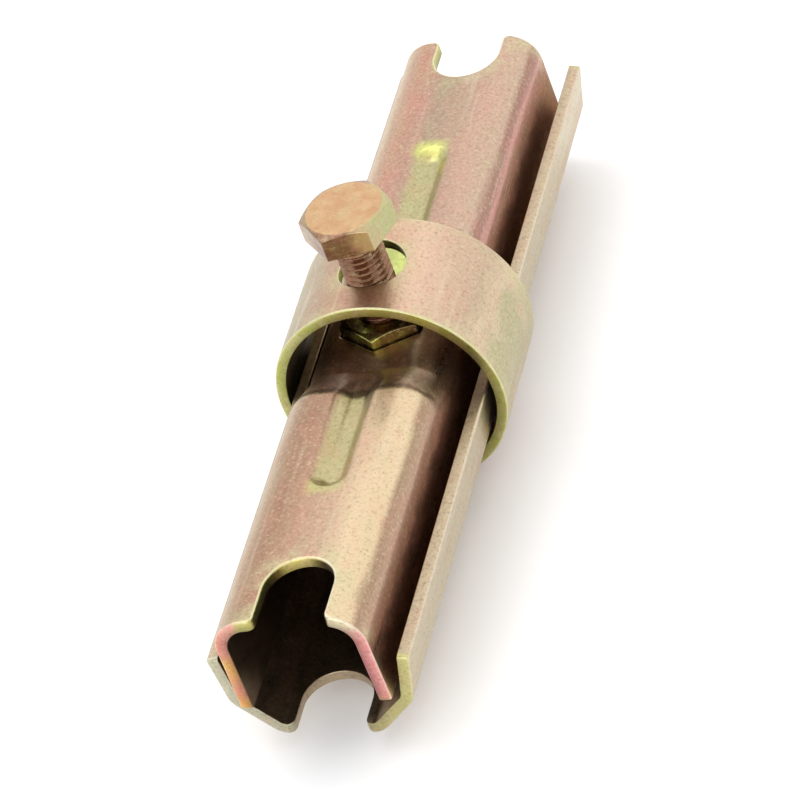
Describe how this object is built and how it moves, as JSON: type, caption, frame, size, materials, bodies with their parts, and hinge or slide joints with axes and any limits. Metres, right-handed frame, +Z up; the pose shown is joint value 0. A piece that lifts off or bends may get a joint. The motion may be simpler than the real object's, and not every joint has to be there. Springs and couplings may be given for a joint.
{
  "type": "scaffold joint pin",
  "caption": "Expanding inner coupler for scaffold tubes: two nested pressed channels, a stop collar round the middle and a bolt that spreads the channels.",
  "frame": {"origin": "on the surface that the collar rests on, under the middle of the whole pin, 0.8 mm from the collar's middle", "axes": "+Y along the tube axis, +Z up towards the bolt head, +X across"},
  "size_m": [0.0478, 0.1828, 0.0648],
  "materials": {
    "lower_half_plating": "yellow-passivated zinc plate on pressed steel, greenish olive cut edges",
    "upper_half_plating": "yellow-passivated zinc plate on pressed steel, tan with pink and yellow-green patches",
    "collar_plating": "yellow-passivated zinc plate on tube, fine speckle, tan with pink and green patches",
    "bolt_plating": "yellow-passivated zinc plate, orange-tan, with scratches",
    "nut_plating": "yellow-passivated zinc plate, yellow-green, glossy",
    "weld_plating": "plated weld metal, rough"
  },
  "bodies": {
    "lower": {"lower_half": "lower_half_plating"},
    "upper": {"upper_half": "upper_half_plating", "nut": "nut_plating", "nut_weld_near": "weld_plating", "nut_weld_far": "weld_plating"},
    "collar": {"collar": "collar_plating"},
    "bolt": {"bolt": "bolt_plating"}
  },
  "joints": [
    {"name": "bolt_turn", "type": "hinge", "parent": "lower", "child": "bolt", "pos_m": [-0.0003, -0.001, 0.02394], "axis": [-0.061, 0, 0.9981], "range_deg": [-864, 0]},
    {"name": "upper_lift", "type": "slide", "parent": "lower", "child": "upper", "axis": [-0.061, 0, 0.9981], "range_m": [0, 0.0036]},
    {"name": "collar_play", "type": "slide", "parent": "lower", "child": "collar", "axis": [0, 1, 0], "range_m": [-0.0036, 0]}
  ],
  "couplings": [
    {"joint": "bolt_turn", "follows": "upper_lift", "rad_per_m": -4188.8}
  ]
}
